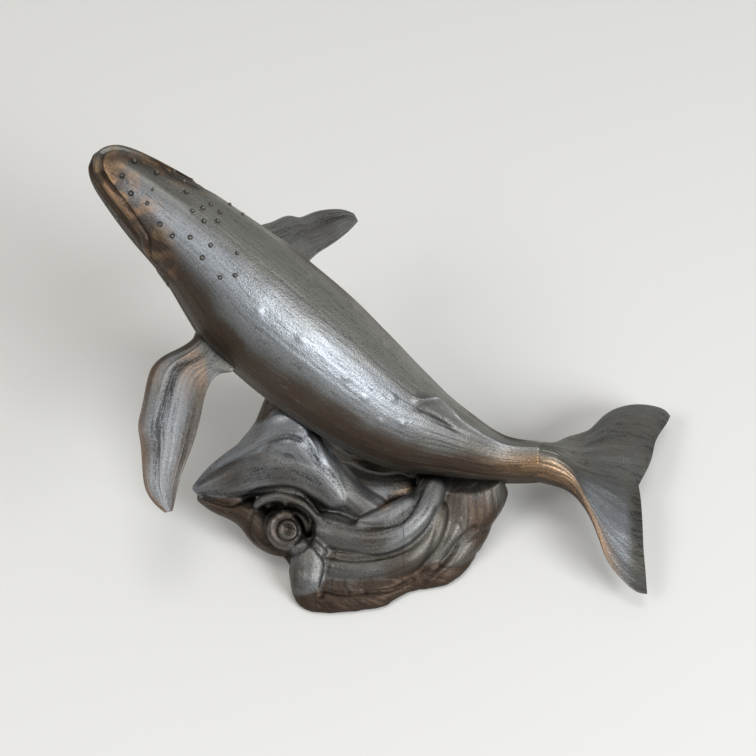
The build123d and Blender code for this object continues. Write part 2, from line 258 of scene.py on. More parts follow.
WHALE_LENGTH = 250.0
BODY_WIDTH, BODY_DEPTH = 59.0, 60.0
BODY_ROLL, ROLL_SHARE = math.radians(10), 0.35
SPINE = [
    (0.305, 0.036, 0.142), (0.232, 0.043, 0.142), (0.140, 0.055, 0.176), (0.047, 0.074, 0.223),
    (-0.044, 0.099, 0.299), (-0.133, 0.130, 0.378), (-0.214, 0.166, 0.448), (-0.295, 0.207, 0.532),
    (-0.364, 0.241, 0.584), (-0.422, 0.270, 0.627), (-0.474, 0.298, 0.658),
]
SECTIONS = [
    (0.000, 0.27, 0.37), (0.073, 0.34, 0.42), (0.171, 0.52, 0.62), (0.277, 0.78, 0.82), (0.399, 0.93, 0.92),
    (0.523, 1.00, 0.98), (0.635, 0.97, 0.95), (0.700, 0.86, 0.86), (0.761, 0.75, 0.72), (0.853, 0.62, 0.58),
    (0.931, 0.47, 0.42), (0.970, 0.36, 0.31), (0.992, 0.22, 0.18), (1.000, 0.02, 0.02),
]
spine = smooth_path(np.array(SPINE) * WHALE_LENGTH, 1200)

# Groove of the mouth: degrees from the top of the head, share of the body's length
MOUTH = [(0, 0.988), (20, 0.983), (38, 0.972), (45, 0.955), (51, 0.931), (54, 0.905), (58, 0.881),
         (61, 0.862), (66, 0.842), (80, 0.828), (92, 0.816)]
MOUTH_END = MOUTH[-1][0]
# Relief across that groove: height, place above it and width
LIPS = [(-1.25, 0.0, 0.75), (0.75, -2.4, 1.3), (-0.45, -5.0, 0.8), (0.35, -7.0, 1.4), (-0.35, 4.5, 2.2)]
# Share of the body's length where the head begins, and a distance beyond all relief
HEAD_START, FAR = 0.76, 99.0

# Eyes: share of the body's length and degrees below the side, then height, reach and width of their rings
EYE = (0.772, 12)
EYE_RINGS = [(1.0, 0.0, 1.5), (-0.5, 2.6, 0.7), (0.5, 4.2, 1.2)]

# Knobs on the head: share of the body's length, degrees round it, radius in knob sizes
KNOB_SIZE = 0.64
KNOBS = [
    (0.902, 113, 1.1), (0.881, 144, 1.0), (0.857, 128, 1.1), (0.847, 154, 1.0), (0.890, 83, 1.0),
    (0.940, 70, 1.0), (0.912, 56, 1.1), (0.882, 61, 0.9), (0.842, 51, 1.2), (0.814, 50, 1.2),
    (0.792, 63, 1.2), (0.763, 72, 1.1), (0.759, 56, 1.3), (0.728, 85, 1.0), (0.720, 55, 1.1),
    (0.707, 67, 1.1), (0.815, 90, 1.3), (0.805, 102, 1.3), (0.792, 89, 1.2), (0.777, 100, 1.3),
    (0.782, 113, 1.1), (0.799, 115, 1.1), (0.775, 146, 1.0), (0.752, 142, 1.0), (0.901, 0, 0.9),
    (0.858, -9, 0.9), (0.930, -6, 0.9), (0.905, 180, 0.9), (0.862, 190, 0.9), (0.932, 186, 0.9),
    (0.940, 110, 1.0), (0.842, 110, 1.1), (0.870, 97, 0.9),
]
# Outline of a knob: reach and height in knob sizes
KNOB_PROFILE = [(1.7, -0.5), (1.35, 0.0), (1.02, 0.22), (0.92, 0.55), (0.76, 0.85), (0.42, 1.0), (0.05, 1.04)]

# Small bumps of the back: share of the body's length, degrees
BUMPS = [(0.634, 60), (0.546, 64), (0.447, 60), (0.398, 56), (0.352, 72), (0.304, 54), (0.345, 46),
         (0.342, 20), (0.600, 118), (0.500, 124), (0.420, 112)]

# Surface lines: length and width of a cell and its share, and their depth along the body
LINE_LAYERS = [(26, 1.25, 0.55), (15, 0.8, 0.3), (40, 3.2, 0.45)]
LINE_DEPTH = [(0, 0.30), (0.12, 0.34), (0.25, 0.26), (0.55, 0.20), (0.80, 0.14), (0.92, 0.06), (1, 0.0)]
# Half width and half depth round which the lines are laid on each part, and the pleats in a turn
BODY_GIRTH, STOCK_GIRTH, FIN_GIRTH, FLUKE_GIRTH = (27, 27), (14, 14), (14, 6), (16, 8)
PLEATS = 26
# How far the streaks of the finish are drawn out along the flow
DRAWN_OUT = 0.07

# Ridge of the back fin: share of the body's length, degrees, height, width
BACK_FIN = [(0.00, 84, 0.5, 2.0), (0.117, 84, 1.0, 2.2), (0.184, 86, 1.8, 2.4), (0.221, 91, 3.0, 2.3),
            (0.250, 91, 4.4, 2.2), (0.272, 90, 5.6, 2.1), (0.286, 88, 4.6, 2.1), (0.302, 85, 1.4, 2.3),
            (0.320, 85, 0.0, 3.0), (1.00, 85, 0.0, 3.0)]


def spine_frames(share):
    """Middle of the body with its forward, left and up directions."""
    before, after = np.maximum(share - 0.001, 0), np.minimum(share + 0.001, 1)
    ahead = unit(along_path(spine, after) - along_path(spine, before))
    level = unit(np.cross([0, 0, 1.0], ahead))
    rise = np.cross(ahead, level)
    roll = -BODY_ROLL * np.minimum(1, share / ROLL_SHARE)
    left = level * np.cos(roll)[..., None] + rise * np.sin(roll)[..., None]
    return along_path(spine, share), ahead, left, np.cross(ahead, left)


def half_sizes(share):
    """Half the width and half the depth of the body."""
    return BODY_WIDTH / 2 * table(SECTIONS, share, 1), BODY_DEPTH / 2 * table(SECTIONS, share, 2)


def skin(share, angle):
    """Places on the plain skin; the angle runs from the left side over the back."""
    middle, _, left, up = spine_frames(share)
    wide, deep = half_sizes(share)
    return middle + left * (wide * np.cos(angle))[..., None] + up * (deep * np.sin(angle))[..., None]


def away_from(places, share, degree):
    """Distance of places to one spot on the plain skin."""
    spot = skin(np.array([share]), np.radians([float(degree)]))[0]
    return np.linalg.norm(places - spot, axis=-1)


def from_back(angle):
    """Degrees from the line of the back, down either side."""
    return np.abs((np.degrees(angle) + 90) % 360 - 180)


def spread(low, high, count, crowds):
    """Shares between low and high, closer together in each crowd (from, to, times)."""
    fine, ease = np.linspace(low, high, 4000), 0.02
    weight = np.ones_like(fine)
    for start, end, times in crowds:
        weight += (times - 1) * within(fine, start - ease, start, end, end + ease)
    run = np.concatenate([[0], np.cumsum(weight[:-1])])
    return np.interp(np.linspace(0, run[-1], count), run, fine)


def flow_lines(along, across, up, seed):
    """Lengthwise lines of the cast surface, from -1 in a groove to 1 on a ridge."""
    return sum(share * noise(stacked(along / length, across / width, up / width), seed + layer)
               for layer, (length, width, share) in enumerate(LINE_LAYERS))


def mouth_away(places, share, angle):
    """Signed distance to the groove of the mouth: above it is the upper jaw."""
    line = np.linspace(-MOUTH_END, MOUTH_END, 260)
    lip = skin(table(MOUTH, np.abs(line)), np.radians(90 + line))
    flat = places.reshape(-1, 3)
    squares = (flat**2).sum(1)[:, None] + (lip**2).sum(1) - 2 * flat @ lip.T
    apart = np.sqrt(np.maximum(squares, 0)).min(axis=1).reshape(share.shape)
    from_top = from_back(angle)
    upper = (share < table(MOUTH, np.minimum(from_top, MOUTH_END))) & (from_top < MOUTH_END)
    return np.where(upper, apart, -apart)


def belly_pleats(share, from_top):
    """Pleats of the throat and belly."""
    reach = ramp(from_top, 55, 95) * ramp(from_top, 84, 104) * within(share, 0.44, 0.54, 0.955, 0.985)
    ripple = np.cos(np.radians(from_top) * PLEATS)
    return 0.30 * reach * (ripple - np.abs(ripple) ** 3)


def jaw_relief(share, from_top, apart, radius):
    """Mouth, lips and the flat upper jaw with its ridge."""
    fade = 1 - ramp(from_top, 84, 100) * (share < 0.9)
    ridge = np.radians(from_top) * radius
    return (bells(apart, LIPS) * fade + 0.7 * bell(ridge, 2.6) * within(share, 0.80, 0.84, 0.95, 0.98)
            - 0.4 * bell(ridge - 5.0, 2.4) * within(share, 0.80, 0.86, 0.95, 0.98))


def fin_relief(share, degrees, radius):
    """Back fin with the keel behind it, and the distance across it from its ridge."""
    centre, height, width = (table(BACK_FIN, share, k) for k in (1, 2, 3))
    across = np.radians(degrees - centre) * radius
    hollow = bell(across + 4.5, 1.8) * within(share, 0.16, 0.22, 0.28, 0.31)
    return 1.2 * height * bell(across, 0.8 * width) - 0.7 * hollow, across


def body_grid(shares, size):
    """Rings of the body with their relief and paint."""
    share, angle = np.meshgrid(shares, turns(size), indexing="ij")
    plain = skin(share.ravel(), angle.ravel()).reshape(share.shape + (3,))
    radius = sum(half_sizes(share)) / 2
    degrees, from_top = np.degrees(angle), from_back(angle)
    along, side, top = share * spine[2], np.cos(angle), np.sin(angle)
    big = ramp(radius, 13, 20)
    lines = (big * flow_lines(along, BODY_GIRTH[0] * side, BODY_GIRTH[1] * top, 3)
             + (1 - big) * flow_lines(along, STOCK_GIRTH[0] * side, STOCK_GIRTH[1] * top, 8))
    fine = lines * table(LINE_DEPTH, share) * (0.75 + 0.5 * ramp(from_top, 55, 95))

    # Shapes of the head, belly and back, and a dark ring round each knob: a groove with dark patina and
    # painted shade in it
    head = shares > HEAD_START
    apart = np.full(share.shape, FAR)
    apart[head] = mouth_away(plain[head], share[head], angle[head])
    eyes = sum(bells(away_from(plain, EYE[0], degree), EYE_RINGS) for degree in (-EYE[1], 180 + EYE[1]))
    bumps = sum(0.55 * bell(away_from(plain, place, degree), 1.5) for place, degree in BUMPS)
    ring = sum(bell(away_from(plain, place, degree) - 1.4 * KNOB_SIZE * knob, 0.55)
               for place, degree, knob in KNOBS)
    back_fin, across = fin_relief(share, degrees, radius)
    shape = (belly_pleats(share, from_top) + jaw_relief(share, from_top, apart, radius)
             + eyes - 0.10 * ring + back_fin)
    rings = plain + grid_normals(plain) * (shape + bumps + fine)[..., None]

    # Where the finish is brown, gold, silver and pale. The silver band along the near upper flank is a
    # painted highlight; the brown of the lower flank is brown patina and painted shade; pale is painted light
    # on the far flank and the back
    # Brown patina with painted shade, darker and browner down the lower flank and on the stock
    lower = ramp(from_top + 18 * noise(plain / 16, 21) + 22 * (1 - ramp(share, 0.10, 0.38)), 36, 78)
    # Painted highlight: a silver band along the near upper flank
    silver_and_painted_highlight = bell(from_top - 30, 19) * (degrees < 90) * within(share, 0.16, 0.45, 0.90, 0.96)
    rub = noise(plain / 5, 22)
    lips = 0.6 * bell(apart - 1.6, 1.3) + 0.35 * bell(apart + 2.4, 1.2)
    lips = lips * (share > 0.88) * ramp(rub, -0.2, 0.4)
    cheek = bell(apart - 5, 7) * (share > HEAD_START)
    stock = bell(share, 0.08) * bell(degrees - 42, 24)
    return {
        "rings": rings,
        "flow": stacked(along * DRAWN_OUT, BODY_GIRTH[0] * side, BODY_GIRTH[1] * top),
        # Bright worn ridges, and the dark of dark patina and painted shade in the ring round each knob
        "wear_and_painted_light": 0.55 * fine / 0.3 + np.clip(shape, -1.0, 0.5) * 0.55 - 0.25 * ring,
        "brown_and_painted_shade": lower * np.where(degrees < 270, 1.0, 0.6 + 0.4 * (1 - ramp(share, 0.0, 0.12))) + 0.6 * cheek,
        "gold": lips + 0.6 * cheek * ramp(rub, -0.1, 0.4) + 0.8 * stock,
        "silver_and_painted_highlight": silver_and_painted_highlight + 0.2 * bell(across, 2.5) * (share < 0.3),
        # Pale: painted light on the far flank and the back
        "pale": ramp(degrees, 72, 110) * (degrees < 230) * (1 - 0.5 * ramp(from_top, 50, 100)),
    }


def dome(place, out, radius, height, size=20):
    """Small flared knob standing on the skin."""
    side = unit(np.cross(out, [0.3, 0.2, 1.0]))
    turn = turns(size)
    wheel = side * np.cos(turn)[:, None] + np.cross(out, side) * np.sin(turn)[:, None]
    rings = np.array([place + wheel * radius * reach + out * height * rise for reach, rise in KNOB_PROFILE])
    high = np.array(KNOB_PROFILE)[:, 1:]
    return {"rings": rings, "flow": rings, "wear_and_painted_light": high * 1.1 - 0.5, "brown_and_painted_shade": 0.5 - 0.4 * high}


def knob_parts():
    """Knobs of the head."""
    parts = []
    for share, degree, radius in KNOBS:
        degrees = np.array([degree, degree, degree + 2.0])
        place, ahead, turned = skin(np.array([share, share + 0.002, share]), np.radians(degrees))
        out = unit(np.cross(ahead - place, turned - place))
        middle = spine_frames(np.array([share]))[0][0]
        out = out if np.dot(out, place - middle) > 0 else -out
        parts.append(dome(place, out, radius * KNOB_SIZE, radius * KNOB_SIZE * 1.25))
    return parts


# Fins

# Each fin: its bright (1 for the near fin, which takes a painted highlight and brown rims with painted shade;
# 0 for the far fin, which takes pale painted light instead), root, directions out and along its chord, then
# its leading and trailing edges as (out, along)
FINS = {
    "left_pectoral_fin": {
        "bright": 1.0, "root": (-67.4, 31.2, 101.9),
        "out": (-0.24, -0.88, -0.36), "chord": (0.97, -0.19, -0.06),
        "lead": [(-4, -7), (4.7, -9.2), (7.6, -9.6), (12.7, -13.6), (17.6, -18.9), (24, -22.7), (31, -23.1),
                 (38, -22.4), (45, -21.8), (51.5, -21), (58, -18.2), (68.5, -14.4), (77, -10.5), (82, -5),
                 (84.5, 0)],
        "trail": [(-4, 12), (8, 13), (17.6, 11.4), (19.6, 7.3), (24.2, 4), (33, 3.2), (44, 4), (58, 3.7),
                  (69.5, 2.6), (78.5, 2.9), (83, 3)],
    },
    "right_pectoral_fin": {
        "bright": 0.0, "root": (-48.8, 60.2, 106.4),
        "out": (0.46, 0.77, -0.37), "chord": (0.65, -0.68, -0.34),
        "lead": [(-4, -13), (8, -16), (21.8, -20.8), (34.5, -19.6), (44.7, -19), (50, -17.3), (53, -15),
                 (63.5, -13.2), (73.5, -10), (80.5, -6), (84, -1.8)],
        "trail": [(-4, 13), (10, 12), (22, 9), (33.5, 6.2), (45, 4.8), (59, 4.8), (74, 4), (82, 2.8)],
    },
}
# Thickness from root to tip, the full reach, and the height, place and width of the hollows
FIN_THICK = [(0, 12.5), (0.09, 11.0), (0.19, 8.6), (0.27, 7.2), (0.5, 5.6), (0.8, 3.8), (0.95, 2.2), (1, 0.9)]
FIN_REACH = 85
FIN_HOLLOWS = [(-0.9, 0.35, 0.28), (0.5, 0.78, 0.16), (0.45, -0.25, 0.3)]


def fin_grid(fin, rows=230, size=200):
    """Rings across a fin, from inside the body to its tip."""
    out, chord = unit(np.array(fin["out"])), unit(np.array(fin["chord"]))
    chord = unit(chord - out * np.dot(chord, out))
    share = 1 - (1 - np.linspace(0, 1, rows)) ** 1.25
    lead, trail = (along_path(smooth_path(fin[edge]), share) for edge in ("lead", "trail"))
    share = share[:, None]
    turn = turns(size)
    across, side = np.cos(turn), np.sin(turn)
    facing = np.abs(side)
    middle, half = (lead + trail) / 2, (lead - trail) / 2
    flat = middle[:, None] + half[:, None] * across[:, None]
    span = flat[..., 0]
    reach = np.clip(span / FIN_REACH, 0, 1)
    height = table(FIN_THICK, share) / 2 * side * (0.75 + 0.25 * across)
    bend = 2.2 * np.sin(np.pi * reach) - 1.5 * ramp(reach, 0.6, 1.0)
    places = (np.array(fin["root"]) + out * flat[..., :1] + chord * flat[..., 1:]
              + np.cross(out, chord) * (height + bend)[..., None])

    # Long hollows and fine lines on both faces
    hollow = bells(across, FIN_HOLLOWS) * facing * within(share, 0.15, 0.35, 0.85, 1.0)
    wide, deep = FIN_GIRTH
    lines = flow_lines(share * FIN_REACH, wide * across, deep * np.sign(side) * facing ** 0.5, 31)
    fine = 0.26 * lines * ramp(share, 0.02, 0.2) * facing ** 0.5
    rings = places + grid_normals(places) * (hollow + fine)[..., None]

    near_lead = (1 - across) * np.linalg.norm(half, axis=1)[:, None]
    edge = bell(near_lead, 2.0) * ramp(share, 0.1, 0.25)
    patches = noise(places / 11, 5)
    rims = 0.55 * bell(across - 0.85, 0.3) + 0.35 * bell(across + 0.9, 0.5)
    bright = fin["bright"]
    return {
        "rings": rings,
        "flow": stacked(span * DRAWN_OUT, wide * across, deep * side),
        "wear_and_painted_light": fine / 0.26 + hollow * 0.6 + 0.5 * edge,
        # Brown rims of brown patina and painted shade on the near fin, and brown patches
        "brown_and_painted_shade": rims * bright + 0.15 + 0.3 * patches,
        "gold": (0.3 * edge + 0.6 * (1 - ramp(reach, 0.1, 0.5)) * ramp(patches, -0.4, 0.2)) * bright,
        # Painted highlight: a silver band along the middle of the near fin
        "silver_and_painted_highlight": 0.95 * bell(across - 0.1, 0.55) * ramp(reach, 0.15, 0.4) * bright + 0.1,
        # Pale painted light over the far fin
        "pale": 0.6 * (1 - bright),
    }


# Fluke

FLUKE_AFT, FLUKE_SIDE = (0.942, -0.076, -0.34), (0.16, 0.985, 0.03)
# Outlines as (aft, across) from the stock joint, and half the stock's width there
FLUKE_NOTCH, STOCK_HALF = (48.9, 2.4), 8.1
FAR_LEAD = [(0, 8.2), (5, 11.2), (10.5, 16.7), (19.9, 24), (24.4, 30.2), (28.8, 37.7), (36, 45.6), (46, 51.5),
            (55.2, 53.5), (60.5, 52.9), (63.4, 50.3)]
FAR_TRAIL = [FLUKE_NOTCH, (51.7, 10.8), (53.7, 18.9), (55.4, 30.1), (61.2, 44), (63.4, 50.3)]
NEAR_LEAD = [(0, -8.0), (9.3, -8.6), (15.8, -10), (21.3, -14.4), (27.1, -22.6), (33, -32.7), (38.8, -41.7),
             (46.7, -48.4), (54.4, -52.4), (59.3, -52)]
NEAR_TRAIL = [FLUKE_NOTCH, (50.5, -5.1), (52.3, -21.2), (54.2, -31.6), (56.9, -41.5), (59.3, -52)]
# Rings inside the body's stock, and how far they reach into it as a share of the body's length
INNER_RINGS, INNER_REACH = 24, 0.075


def fluke_flat(run, across):
    """Places on the fluke's outline plane, carried from the stock to the trailing edge."""
    flat = np.zeros(run.shape + (2,))
    for lead, trail, sign in ((FAR_LEAD, FAR_TRAIL, 1), (NEAR_LEAD, NEAR_TRAIL, -1)):
        lobe = (across >= 0) == (sign > 0)
        u, c = run[lobe][:, None], np.abs(across[lobe])[:, None]
        leads = along_path(smooth_path(lead), run[lobe])
        trails = along_path(smooth_path(trail), np.abs(across[lobe]))
        notch, rim, tip = (np.array([place]) for place in (FLUKE_NOTCH, (0.0, STOCK_HALF * sign), trail[-1]))
        corner = (1 - u) * c * rim + u * (1 - c) * notch + u * c * tip
        flat[lobe] = (1 - c) * (notch * u) + c * leads + (1 - u) * (rim * c) + u * trails - corner
    return flat


def fluke_places(u, turn, across, rise, flat):
    """Plain places of the fluke, eased into the stock of the body."""
    rows, size = u.shape
    inner = INNER_RINGS
    aft, side = unit(np.array(FLUKE_AFT)), unit(np.array(FLUKE_SIDE))
    up = unit(np.cross(aft, side))
    stock_deep = BODY_DEPTH / 2 * SECTIONS[0][2]
    plate = ((0.35 + 3.6 * (1 - u) ** 0.8 * (1 - 0.35 * np.abs(across)))
             * np.sign(rise) * np.minimum(np.abs(rise) * 1.6, 1) ** 0.7)
    blend = ramp(u, 0.0, 0.42)
    height = (1 - blend) * stock_deep * rise + blend * plate
    sweep = -3.0 * ramp(np.abs(flat[..., 1]), 20, 54) + 1.5 * bell(np.abs(flat[..., 1]) - 22, 16) * u
    places = spine[0][0] + aft * flat[..., :1] + side * flat[..., 1:] + up * (height + sweep)[..., None]
    reach = np.repeat(np.linspace(INNER_REACH, 0.0, inner), size)
    places[:inner] = skin(reach, np.tile(np.pi - turn, inner)).reshape(inner, size, 3)
    middle = places[:inner].mean(axis=1, keepdims=True)
    places[:inner] = middle + (places[:inner] - middle) * np.linspace(0.96, 1.0, inner)[:, None, None]
    near_joint = bell(np.arange(2, rows - 8) - inner, 26)[:, None, None]
    for _ in range(60):
        places[2:-8] += 0.25 * (places[1:-9] + places[3:-7] - 2 * places[2:-8]) * near_joint
    return places


def fluke_grid(rows=250, size=240):
    """Rings from inside the tail stock to the trailing edge."""
    turn = turns(size)
    run = np.concatenate([np.zeros(INNER_RINGS), np.linspace(0, 1, rows - INNER_RINGS)])
    u, v = np.meshgrid(run, turn, indexing="ij")
    across, rise = np.cos(v), np.sin(v)
    flat = fluke_flat(u, across)
    places = fluke_places(u, turn, across, rise, flat)
    length = np.linalg.norm(flat, axis=-1)
    wide, deep = FLUKE_GIRTH
    lines = flow_lines(length + 40, wide * across, deep * rise, 51)
    fine = 0.30 * lines * (1 - ramp(u, 0.9, 1.0)) * np.minimum(np.abs(rise) * 2, 1)
    rings = places + grid_normals(places) * fine[..., None]
    rings[:INNER_RINGS] = places[:INNER_RINGS]

    edge = bell(1 - np.abs(across), 0.10) * ramp(u, 0.2, 0.4)
    stock = 1 - ramp(u, 0.05, 0.35)
    streak = bell(across + 0.74 + 0.24 * ramp(u, 0.08, 0.5), 0.28 - 0.12 * ramp(u, 0.2, 0.5)) * (rise > 0)
    # Painted highlight along the middle of the near lobe
    near_lobe_highlight = bell(across + 0.55, 0.34) * within(u, 0.28, 0.5, 0.82, 0.95)
    # Upper side of the stock, which takes pale painted light
    lit_upper_side = ramp(np.degrees(np.pi - v), 60, 100)
    return {
        "rings": rings,
        "flow": stacked(length * DRAWN_OUT, wide * across, deep * rise),
        "wear_and_painted_light": 0.55 * fine / 0.3 + 0.4 * edge + 0.8 * near_lobe_highlight - 0.35 * ramp(u, 0.84, 0.97),
        # Brown patina with painted shade on the stock's lower side
        "brown_and_painted_shade": stock * ramp(from_back(np.pi - v), 36, 78)
                 + (1 - stock) * (0.05 + 0.5 * bell(across + 1, 0.1)),
        "gold": 0.8 * streak * (1 - ramp(u, 0.55, 0.9)),
        "silver_and_painted_highlight": 0.9 * near_lobe_highlight + 0.2 * edge,
        # Pale painted light on the far lobe and on the stock's upper side
        "pale": (0.35 * ramp(across, -0.3, 0.3) + 0.3 * stock * lit_upper_side) * (rise > 0),
    }


# Wave

# Each strand: the way its face looks, its brown (brown patina, with painted shade on the strands that face
# down) and its silver (painted highlight on the crest), then rows of x, y, z, half width and thickness
STRANDS = {
    "fan": ((-0.1, -0.72, 0.68), 0.4, 0.3, [
        (-82, -1, 26, 1.5, 1.5), (-77, 1, 27, 4.5, 4), (-67.5, 3, 29, 8, 6.5), (-56, 5, 33, 11, 8.5),
        (-44.5, 6, 36.5, 13.5, 10), (-34, 5.5, 38, 14, 11), (-25, 2, 35.5, 12.5, 10.5),
        (-17.5, -3.5, 30.5, 9.5, 9), (-12, -9.5, 25, 6.5, 7)]),
    "strip": ((-0.45, -0.35, 0.82), 0.25, 0.75, [
        (-82.5, -1, 27, 1.5, 1.5), (-73.5, 7, 29, 4, 4), (-64, 10, 35.5, 5, 5), (-53.5, 12, 43.5, 6, 6),
        (-46, 14.5, 53, 6.5, 6.5), (-37, 15.5, 57.5, 8, 8), (-27.5, 11, 54, 7, 7)]),
    "knuckle": ((0.1, -0.6, 0.8), 0.3, 0.6, [
        (-50, 9, 40, 3, 3), (-45.5, 11, 45.5, 6, 6), (-39.5, 11, 50.5, 9, 8), (-33, 9.5, 50.5, 9.5, 9),
        (-27.5, 6.5, 44, 8.5, 8.5), (-21, 1, 36.5, 7.5, 7.5), (-14.5, -6, 28, 6, 6)]),
    "under": ((-0.3, -0.86, 0.41), 0.85, 0.0, [
        (-81, -2, 23.5, 1.5, 1.5), (-72, -2.5, 20.5, 5, 5.5), (-62.5, -4, 18.5, 6.5, 7.5),
        (-55, -8, 16.5, 7.5, 8), (-50, -13.5, 14, 8, 8), (-43, -18, 13, 8, 7.5), (-37, -19, 14.5, 7, 6.5),
        (-32, -18.5, 17, 5, 5)]),
    "ring": ((0.05, -0.75, 0.66), 0.4, 0.15, [
        (-53.5, -9, 24.5, 1.6, 1.6), (-51, -9, 29.5, 2.4, 2.2), (-45.5, -7.5, 31, 2.6, 2.4),
        (-37.5, -8.5, 31, 2.5, 2.4), (-30.5, -12, 30, 2.5, 2.4), (-25, -16.5, 28, 2.3, 2.3),
        (-20.5, -22, 24.5, 1.8, 1.8)]),
    "bowl": ((0.05, -0.8, 0.6), 0.6, 0.05, [
        (-48, -12, 24, 5, 5), (-43, -16.5, 22, 8, 6.5), (-38, -19.5, 21.5, 8.5, 6.5),
        (-32, -19, 21.5, 6, 5.5)]),
    "foot": ((-0.1, -0.75, 0.65), 0.5, 0.2, [
        (-29, -22, 20.5, 5, 4), (-28.5, -26, 17.5, 8, 6.5), (-28, -30.5, 12, 9.5, 8), (-28.5, -36, 7.5, 9, 8),
        (-30, -41, 5, 7.5, 6), (-30.5, -45, 3, 5.5, 3.5)]),
    "slope": ((0.25, -0.7, 0.67), 0.35, 0.2, [
        (-27, 6, 41, 7, 6), (-18.5, 0, 33.5, 9, 8), (-10, -5.5, 27.5, 8.5, 8), (-1, -10.5, 24.5, 8.5, 7.5),
        (8, -13, 25, 7, 6)]),
    "saddle": ((0, -0.5, 0.85), 0.6, 0.0, [
        (-22, 15, 18, 8, 7), (-10, 17, 14, 10, 8), (2, 18, 12.5, 10, 8), (14, 17, 13, 10, 8),
        (27, 15, 17, 10, 8)]),
    "middle": ((0, -0.7, 0.71), 0.35, 0.2, [
        (-28, -15, 20.5, 4, 4), (-23, -17, 21, 7.5, 7), (-17.5, -19, 20.5, 8.5, 8),
        (-6.5, -21.5, 19.5, 8.2, 8), (5.5, -22.5, 21.5, 8, 8), (15.5, -18, 24.5, 8.5, 8),
        (23, -10, 27.5, 8, 7.5), (27, -1.5, 30, 6.5, 7), (29, 3.5, 32.5, 4, 5)]),
    "wall": ((0.1, -0.72, 0.68), 0.5, 0.0, [
        (-22, 8, 30, 7, 7), (-11, 4, 26, 9, 9), (-2, 1, 24.5, 9, 9), (8, 0, 24.5, 9, 9), (20, 3, 26, 8, 8)]),
    "petal": ((0, -0.6, 0.8), 0.3, 0.4, [
        (-8, -20, 27.5, 2, 1.5), (0, -19, 28, 4.5, 2.5), (8, -17, 29.5, 5.5, 3), (15, -12.5, 31.5, 4.5, 3),
        (18.5, -9, 33, 2, 2)]),
    "lower": ((0, -0.75, 0.66), 0.5, 0.0, [
        (-25, -29, 16, 3.5, 3.5), (-20, -30, 11, 7.5, 7.5), (-10.5, -31, 9.5, 8.8, 8),
        (3, -29.5, 9.5, 8.8, 8.5), (14.5, -26, 11.5, 8.5, 9), (23, -20.5, 15.5, 7.5, 8),
        (28.5, -12.5, 21, 6, 7), (31, -4.5, 26, 4, 5)]),
    "drape": ((0.15, -0.72, 0.68), 0.5, 0.0, [
        (41, 1, 26.5, 5, 5), (40, -2, 23, 8.5, 7), (38, -7, 18, 10, 8), (35, -14, 13.5, 9.5, 8),
        (29.5, -21.5, 9, 8, 6.5), (22.5, -29, 6, 5.5, 4.5), (15.5, -34.5, 4.5, 3, 3)]),
    "leaf": ((0.35, -0.75, 0.56), 0.65, 0.0, [
        (50.5, -0.5, 22.5, 4, 4), (49.5, -4.5, 15.5, 6, 6), (45.5, -12, 9.5, 7, 6.5),
        (38, -22.5, 7, 6.5, 5.5), (29.5, -29.5, 5, 5, 3.5), (22, -33, 4, 3, 2.5)]),
    "edge": ((0.61, -0.61, 0.51), 0.9, 0.0, [
        (56, 6, 25.5, 3.5, 4), (56, 3, 20.5, 6, 6.5), (53.5, 0, 14, 6, 6.5), (49.5, -4.5, 9, 5.5, 6),
        (48, -11, 6.5, 4.5, 4.5), (45, -19.5, 4.5, 3, 3)]),
    "drip": ((0, -0.7, 0.7), 0.4, 0.2, [
        (-41.5, -7, 32, 2, 1), (-40, -9.5, 31, 1.3, 1), (-39, -12, 30, 0.7, 0.7)]),
    "hook": ((0, -0.5, 0.85), 0.7, 0.1, [
        (-30, -45, 3.5, 3.5, 2.5), (-27, -47.2, 3.6, 2.8, 2.5), (-24, -48, 3.6, 2.3, 2.2),
        (-21.8, -47.2, 4, 1.2, 1.2)]),
}

# Plain lobes under the strands: rows of x, y, z and two half widths
CREST_ROWS = [(-66, 1.5, 26, 6, 8), (-60, 6.5, 27, 9, 12), (-46.4, 13, 31, 14, 17), (-33, 13.6, 33, 17, 20),
              (-18.5, 10, 22, 18, 14), (-4, 8, 12, 17, 8), (10, 6.5, 9, 14, 4.5)]
CREST_ROOT = [(-21.5, 2.5, 2, 29, 33), (-21.5, 3.5, 16.5, 27, 25), (-26, 5, 31, 14, 12.5), (-30, 8, 45, 8, 8)]
SWELL_ROWS = [(23.5, 3.5, 2, 30, 34), (30, 3.5, 11, 27, 27), (36, 3.5, 19, 25, 21), (40, 6.5, 30, 20, 11.5)]
BACK_ROWS = [(-62, 12, 28, 7, 14), (-54, 16.5, 30, 9.5, 21), (-46, 22, 37, 11, 32), (-36, 22.5, 37, 11.5, 32),
             (-27, 19.5, 31, 10.5, 24), (-18, 17, 22, 9, 12)]

# Outline of the foot on the table, its middle, and its levels as height and share of that outline
FOOTPRINT = [
    (-55, 22.5), (-49.5, 2.5), (-39, -17), (-37, -38.5), (-28, -50), (-6.5, -49.5), (5.5, -47), (17, -39.5),
    (31, -36.5), (43.5, -26.5), (50.5, -10), (55.5, 7), (54.5, 26), (42.5, 42.5), (18.5, 49.5), (-18.5, 50),
    (-45, 42.5),
]
FOOT_MIDDLE = np.array([2.0, 4.0])
FOOT_LEVELS = [(1.0, 0.985), (1.5, 1.0), (3, 1.005), (5, 0.985), (7, 0.955), (9, 0.90), (11, 0.81),
               (12.5, 0.66), (13.2, 0.45), (13.4, 0.02)]
# The joint between the castings, and the felt under them
SPLIT, FELT_THICK = 13.44, 1.0

